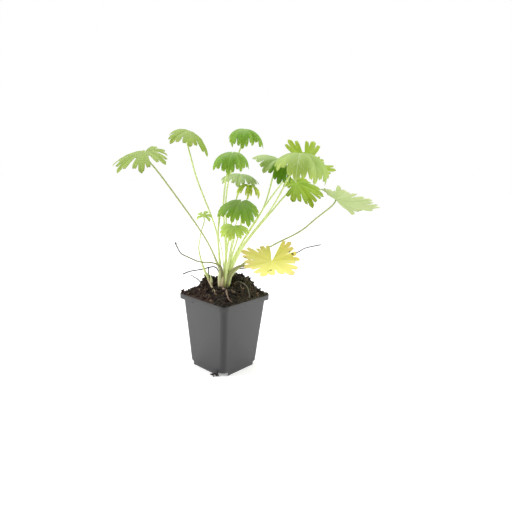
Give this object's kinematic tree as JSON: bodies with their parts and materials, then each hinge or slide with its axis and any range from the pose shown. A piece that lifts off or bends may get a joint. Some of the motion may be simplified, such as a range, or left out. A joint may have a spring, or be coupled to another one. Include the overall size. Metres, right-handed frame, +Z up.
{
  "type": "potted hardy geranium",
  "caption": "Young hardy geranium with lobed drooping leaves on long stalks, one yellow leaf and dry stems, in a tapered square nursery pot heaped with peat.",
  "frame": {"origin": "middle of the pot's flat foot, on the surface it stands on", "axes": "+Z up the plant; the front of the plant faces -Y, +X to its right"},
  "size_m": [0.3311, 0.1725, 0.3185],
  "materials": {
    "pot_plastic": "dark grey moulded plastic, dull satin",
    "peat": "damp dark peat with crumbs and fibres",
    "rootstock": "brown scaly rootstock",
    "leaf_green": "soft, finely hairy fresh green leaf",
    "leaf_yellow": "soft yellow ageing leaf",
    "shoot_pale": "pale green-white young shoot",
    "dry_stem": "thin dry stem"
  },
  "bodies": {
    "root": {"pot": "pot_plastic", "soil": "peat", "crown": "rootstock", "leaf_far_left": "leaf_green", "leaf_upper_left": "leaf_green", "leaf_top": "leaf_green", "leaf_upper_middle": "leaf_green", "leaf_behind_middle": "leaf_green", "leaf_young": "leaf_green", "leaf_middle": "leaf_green", "leaf_lower_middle": "leaf_green", "leaf_right_front": "leaf_green", "leaf_right_large": "leaf_green", "leaf_right_back": "leaf_green", "leaf_right_low": "leaf_green", "leaf_far_right": "leaf_green", "leaf_yellow": "leaf_yellow", "leaf_small_left": "leaf_green", "bud_stem": "leaf_green", "dry_stem_left": "dry_stem", "dry_stem_low_left": "dry_stem", "dry_stem_right": "dry_stem", "side_shoot": "shoot_pale", "dry_stub": "dry_stem", "dry_twig": "dry_stem"}
  },
  "joints": []
}
